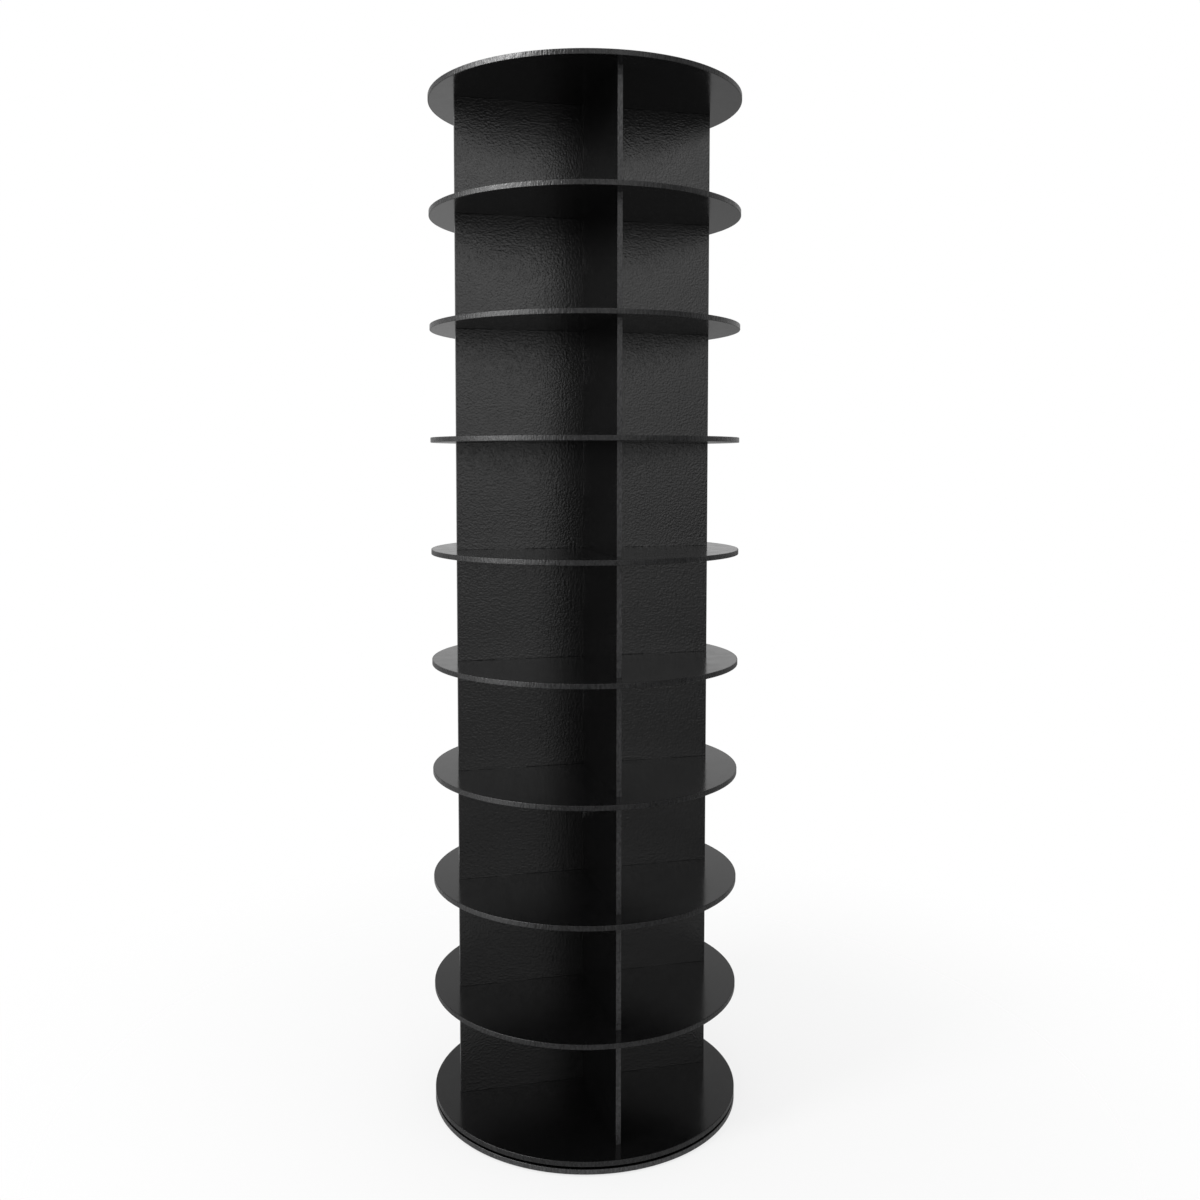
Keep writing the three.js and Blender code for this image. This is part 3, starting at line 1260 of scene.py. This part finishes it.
@dataclass
class Undercarriage:
    """The fixed base disc and its rubber pads."""

    finishes: Finishes
    pads: int = 6
    pad_sides: int = 64
    pad_ease: float = 0.8 * MM
    ease_strips: int = 3
    pad_ring: float = 5 * MM
    # The least area of a wide face, in square metres
    wide_area: float = 0.0001
    smooth_angle: float = 40.0

    def pad(self, role: Role) -> Piece:
        """Returns a rubber pad with a rounded lower edge and a shallow hollow underneath.

        Args:
            role: What the pad stands for.

        Returns:
            The finished pad.
        """
        low, high = (Vector(corner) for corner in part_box(role.node))
        middle = (low + high) / 2
        radius = max(high.x - low.x, high.y - low.y) / 2
        pad = add_drum(radius, low.z, high.z, self.pad_sides, (middle.x, middle.y))
        edit_edges(pad, lambda a, b: a.z < middle.z and b.z < middle.z)
        bpy.ops.mesh.bevel(
            offset=self.pad_ease, segments=self.ease_strips, affect="EDGES", clamp_overlap=True
        )
        edit_faces(pad, lambda face: face.normal.z < -SQUARE_ON and face.area > self.wide_area)
        for thickness, depth in ((self.pad_ring, 0.0), (self.pad_ease, -self.pad_ease)):
            bpy.ops.mesh.inset(thickness=thickness, depth=depth, use_individual=True)
        object_mode()
        smooth_flat(pad, self.smooth_angle)
        return role.dress(pad, [self.finishes.rubber])

    def build(self) -> list[Piece]:
        """Builds the base.

        Returns:
            Its pieces.
        """
        holes = Bearing(self.finishes).lower_holes
        base = DiscBoard("base_disc", Tabs.NONE, self.finishes, Body.BASE, holes)
        nodes = numbered("foot_pad", self.pads)
        role = Role(nodes[0], Making.MOULDED, Body.BASE, Slot.RUBBER)
        return [base.build()] + role.repeat(self.pad(role), nodes[1:])


# The studio round the object


@dataclass(frozen=True)
class Softbox:
    """A lamp that faces the tower's middle, with its width and height and its power in watts."""

    name: str
    place: Place
    size: Pair
    power: float
    aim: Place = (0.0, 0.0, 1.0)

    def build(self) -> None:
        """Adds the lamp."""
        data = bpy.data.lights.new(self.name, "AREA")
        data.shape, data.energy = "RECTANGLE", self.power
        data.size, data.size_y = self.size
        lamp = bpy.data.objects.new(self.name, data)
        lamp.location = self.place
        towards = Vector(self.aim) - Vector(self.place)
        lamp.rotation_euler = towards.to_track_quat("-Z", "Y").to_euler()
        bpy.context.collection.objects.link(lamp)


@dataclass
class Studio:
    """Floor, background, lamps and camera, which aren't part of the object."""

    floor_size: float = 5.0
    floor_fade: Pair = (0.6, 1.6)
    floor_colour: Colour = (0.9, 0.9, 0.9)
    floor_whitening: float = 0.75
    floor_mirrored: float = 0.2
    camera_place: Place = (-0.5693, -2.2832, 1.276)
    camera_pitch: float = 3.837
    camera_turn: float = 14.0
    sensor: float = 36.0
    lens: float = 35.932
    shift: Pair = (0.01265, -0.05083)
    softboxes: tuple[Softbox, ...] = (
        Softbox("overhead_softbox", (0.0, -0.3, 4.2), (3.2, 3.2), 45.0),
        Softbox("left_softbox", (-2.7, -1.2, 3.1), (0.9, 0.9), 45.0),
    )
    plain_level: float = 0.7
    back_by_height: Stops = (
        (-1.0, 0.5), (-0.36, 0.6), (-0.28, 0.55), (-0.19, 0.35), (-0.06, 0.35), (0.04, 0.6),
        (0.16, 0.63), (0.25, 0.48), (0.33, 0.44), (0.4, 0.36), (0.48, 0.26), (1.0, 0.25),
    )
    front_by_height: Stops = (
        (-1.0, 0.2), (-0.44, 0.21), (-0.26, 0.25), (-0.14, 0.27), (-0.09, 0.34), (-0.03, 0.54),
        (0.02, 0.88), (0.07, 0.95), (0.18, 0.88), (0.25, 0.76), (0.31, 1.4), (0.42, 1.6),
        (0.55, 0.5), (1.0, 0.3),
    )
    front_by_side: Stops = (
        (-1.0, 3.5), (-0.93, 7.0), (-0.8, 6.5), (-0.66, 4.5), (-0.5, 1.8), (-0.38, 0.65),
        (-0.25, 0.38), (0.12, 0.42), (0.3, 1.2), (0.4, 1.2), (0.54, 0.92), (0.64, 0.5),
        (1.0, 0.1),
    )
    front_to_back: Pair = (-0.3, 0.3)
    low_right_share: float = 0.6
    low_from: Pair = (0.0, -0.08)
    right_from: Pair = (-0.12, 0.12)

    def floor(self) -> None:
        """Adds the pale floor, which fades into the white background away from the object."""
        deselect_all()
        bpy.ops.mesh.primitive_plane_add(size=self.floor_size, location=(0, 0, 0))
        floor = bpy.context.object
        floor.name = floor.data.name = "studio_floor"
        material = bpy.data.materials.new("studio_floor")
        nodes = NodeTree(material)
        ground = nodes.add("BsdfDiffuse", Color=(*self.floor_colour, 1.0)).outputs[0]
        mirrored, direct = self.mirrored(nodes), self.direct(nodes)
        dimmed = nodes.compute("MULTIPLY", mirrored, self.floor_mirrored)
        level = nodes.compute("MAXIMUM", dimmed, direct)
        glow = nodes.add("Emission", Color=WHITE, Strength=level).outputs[0]
        seen = nodes.compute("MAXIMUM", mirrored, direct)
        whitened = nodes.compute("MULTIPLY", seen, self.floor_whitening)
        pale = nodes.mix(whitened, ground, glow)
        clear = nodes.add("BsdfTransparent").outputs[0]
        distance = nodes.add_in_order("VectorMath", [nodes.coordinates], operation="LENGTH")
        away = nodes.share(distance.outputs["Value"], *self.floor_fade)
        nodes.feed(nodes.output, nodes.mix(away, pale, clear))
        floor.data.materials.append(material)

    def direct(self, nodes: NodeTree) -> Socket:
        """Returns one for what the camera sees directly, or else zero."""
        return nodes.add("LightPath").outputs["Is Camera Ray"]

    def mirrored(self, nodes: NodeTree) -> Socket:
        """Returns one for what is seen in a reflection or through glass, or else zero."""
        path = nodes.add("LightPath").outputs
        return nodes.compute("MAXIMUM", path["Is Glossy Ray"], path["Is Transmission Ray"])

    def background(self) -> None:
        """Makes the world white to the camera, a room in reflections and a plain light elsewhere.

        The room is brightest in front just above the horizon, greyer overhead and behind, and dim in
        front below the horizon.
        """
        world = bpy.data.worlds.new("studio_world")
        bpy.context.scene.world = world
        nodes = NodeTree(world, "Generated")
        turn = math.radians(self.camera_turn)
        height = nodes.reach(Vector((0, 0, 1)))
        right = nodes.reach(Vector((math.cos(turn), -math.sin(turn), 0)))
        ahead = nodes.reach(Vector((math.sin(turn), math.cos(turn), 0)))
        by_height = nodes.profile(height, self.front_by_height)
        front = nodes.compute("MULTIPLY", by_height, nodes.profile(right, self.front_by_side))
        below = nodes.share(height, *self.low_from)
        low_right = nodes.compute("MULTIPLY", below, nodes.share(right, *self.right_from))
        kept = nodes.compute("MULTIPLY_ADD", low_right, self.low_right_share - 1.0, 1.0)
        back = nodes.compute("MULTIPLY", nodes.profile(height, self.back_by_height), kept)
        behind = nodes.share(ahead, *self.front_to_back)
        level = nodes.add("Mix", Factor=behind, A=front, B=back)
        room = nodes.add("Background", Color=level.outputs[0]).outputs[0]
        plain = nodes.add("Background", Color=(*(self.plain_level,) * 3, 1.0)).outputs[0]
        white = nodes.add("Background", Color=WHITE).outputs[0]
        unseen = nodes.mix(self.mirrored(nodes), plain, room)
        nodes.feed(nodes.output, nodes.mix(self.direct(nodes), unseen, white))

    def camera(self) -> None:
        """Sets the camera where the photo was taken from."""
        data = bpy.data.cameras.new("camera")
        data.sensor_width, data.lens = self.sensor, self.lens
        data.shift_x, data.shift_y = self.shift
        camera = bpy.data.objects.new("camera", data)
        camera.location = self.camera_place
        pitch, turn = math.radians(90 - self.camera_pitch), math.radians(-self.camera_turn)
        camera.rotation_euler = (pitch, 0, turn)
        bpy.context.collection.objects.link(camera)
        bpy.context.scene.camera = camera

    def build(self) -> None:
        """Builds the studio."""
        self.floor()
        self.background()
        for softbox in self.softboxes:
            softbox.build()
        self.camera()
        bpy.context.scene.view_settings.view_transform = "Standard"


def main() -> None:
    """Builds the tower and its studio."""
    logging.basicConfig(level=logging.INFO, format="%(message)s")
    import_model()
    finishes = Finishes()
    for maker in (TurningTower(finishes), Undercarriage(finishes), Bearing(finishes)):
        for piece in maker.build():
            LOG.info("%s: %d faces", piece.name, len(piece.data.polygons))
    Studio().build()


if __name__ == "__main__":
    main()
